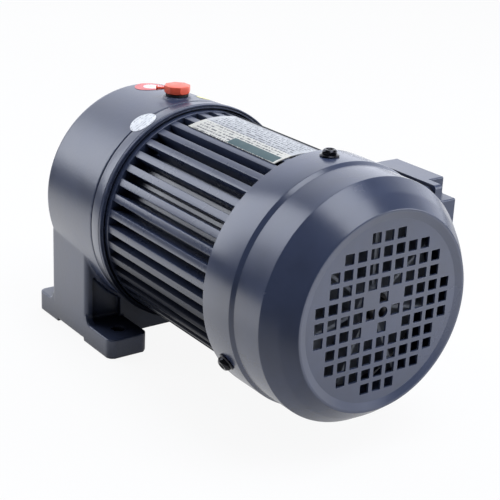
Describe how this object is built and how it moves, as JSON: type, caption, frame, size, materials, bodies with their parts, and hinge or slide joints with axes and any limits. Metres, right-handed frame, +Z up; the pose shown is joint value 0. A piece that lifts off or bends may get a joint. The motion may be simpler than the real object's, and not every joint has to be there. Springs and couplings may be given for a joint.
{
  "type": "gearmotor",
  "caption": "Foot-mounted helical gearmotor: a finned, fan-cooled induction motor drives a coaxial reduction gearbox with a keyed output shaft.",
  "frame": {"origin": "centre of the foot's four-hole bolt pattern, on the mounting plane", "axes": "+Z up from the mounting plane, +X along the motor axis towards the fan end, output shaft along -X, terminal box on +Y"},
  "size_m": [0.3557, 0.2138, 0.1868],
  "materials": {
    "enamel": "satin slate grey-blue stove enamel on castings and sheet",
    "black_oxide": "black oxide steel, slightly glossy",
    "steel": "ground bearing and gear steel",
    "shaft": "turned and ground shaft steel",
    "lamination": "stacked electrical sheet, varnished",
    "copper": "varnished copper winding wire",
    "rubber": "black nitrile rubber",
    "orange_plug": "orange moulded plastic",
    "fan_plastic": "black moulded plastic",
    "gasket_paper": "dark gasket sheet",
    "plate": "thin printed metal label plate",
    "board": "moulded phenolic terminal board with plated studs",
    "gland_plastic": "black moulded plastic"
  },
  "bodies": {
    "frame": {"gear_housing": "enamel", "adapter_flange": "enamel", "case_gasket": "gasket_paper", "output_oil_seal": "rubber", "output_front_bearing_outer_ring": "steel", "output_rear_bearing_outer_ring": "steel", "countershaft_front_bearing_outer_ring": "steel", "countershaft_rear_bearing_outer_ring": "steel", "rotor_oil_seal": "rubber", "rotor_front_bearing_outer_ring": "steel", "rotor_rear_bearing_outer_ring": "steel", "stator_housing": "enamel", "stator_core": "lamination", "front_end_winding": "copper", "rear_end_winding": "copper", "rear_end_shield": "enamel", "fan_cover": "enamel", "breather_plug": "orange_plug", "breather_washer": "rubber", "terminal_box": "enamel", "terminal_box_gasket": "rubber", "terminal_box_lid": "enamel", "terminal_board": "board", "cable_gland": "gland_plastic", "nameplate": "plate", "case_screw_1": "black_oxide", "motor_screw_1": "black_oxide", "shield_screw_1": "black_oxide", "lid_screw_1": "black_oxide", "case_screw_2": "black_oxide", "motor_screw_2": "black_oxide", "shield_screw_2": "black_oxide", "lid_screw_2": "black_oxide", "case_screw_3": "black_oxide", "motor_screw_3": "black_oxide", "shield_screw_3": "black_oxide", "lid_screw_3": "black_oxide", "case_screw_4": "black_oxide", "motor_screw_4": "black_oxide", "shield_screw_4": "black_oxide", "lid_screw_4": "black_oxide", "fan_cover_screw_1": "black_oxide", "fan_cover_screw_2": "black_oxide", "fan_cover_screw_3": "black_oxide"},
    "rotor": {"rotor_shaft": "steel", "rotor_core": "lamination", "cooling_fan": "fan_plastic", "fan_circlip": "steel", "rotor_front_bearing_inner_ring": "steel", "rotor_rear_bearing_inner_ring": "steel"},
    "countershaft": {"countershaft": "steel", "first_stage_gear": "steel", "countershaft_front_bearing_inner_ring": "steel", "countershaft_rear_bearing_inner_ring": "steel"},
    "output": {"output_shaft": "shaft", "output_key": "steel", "output_gear": "steel", "output_gear_circlip": "black_oxide", "output_front_bearing_inner_ring": "steel", "output_rear_bearing_inner_ring": "steel"}
  },
  "joints": [
    {"name": "rotor_spin", "type": "hinge", "parent": "frame", "child": "rotor", "pos_m": [0.1, 0, 0.099], "axis": [1, 0, 0], "continuous": true},
    {"name": "countershaft_spin", "type": "hinge", "parent": "frame", "child": "countershaft", "pos_m": [0.01, 0, 0.135], "axis": [1, 0, 0], "continuous": true},
    {"name": "output_spin", "type": "hinge", "parent": "frame", "child": "output", "pos_m": [-0.04, 0, 0.099], "axis": [1, 0, 0], "continuous": true}
  ],
  "couplings": [
    {"joint": "countershaft_spin", "follows": "rotor_spin", "ratio": -0.45455},
    {"joint": "output_spin", "follows": "rotor_spin", "ratio": 0.20661}
  ]
}
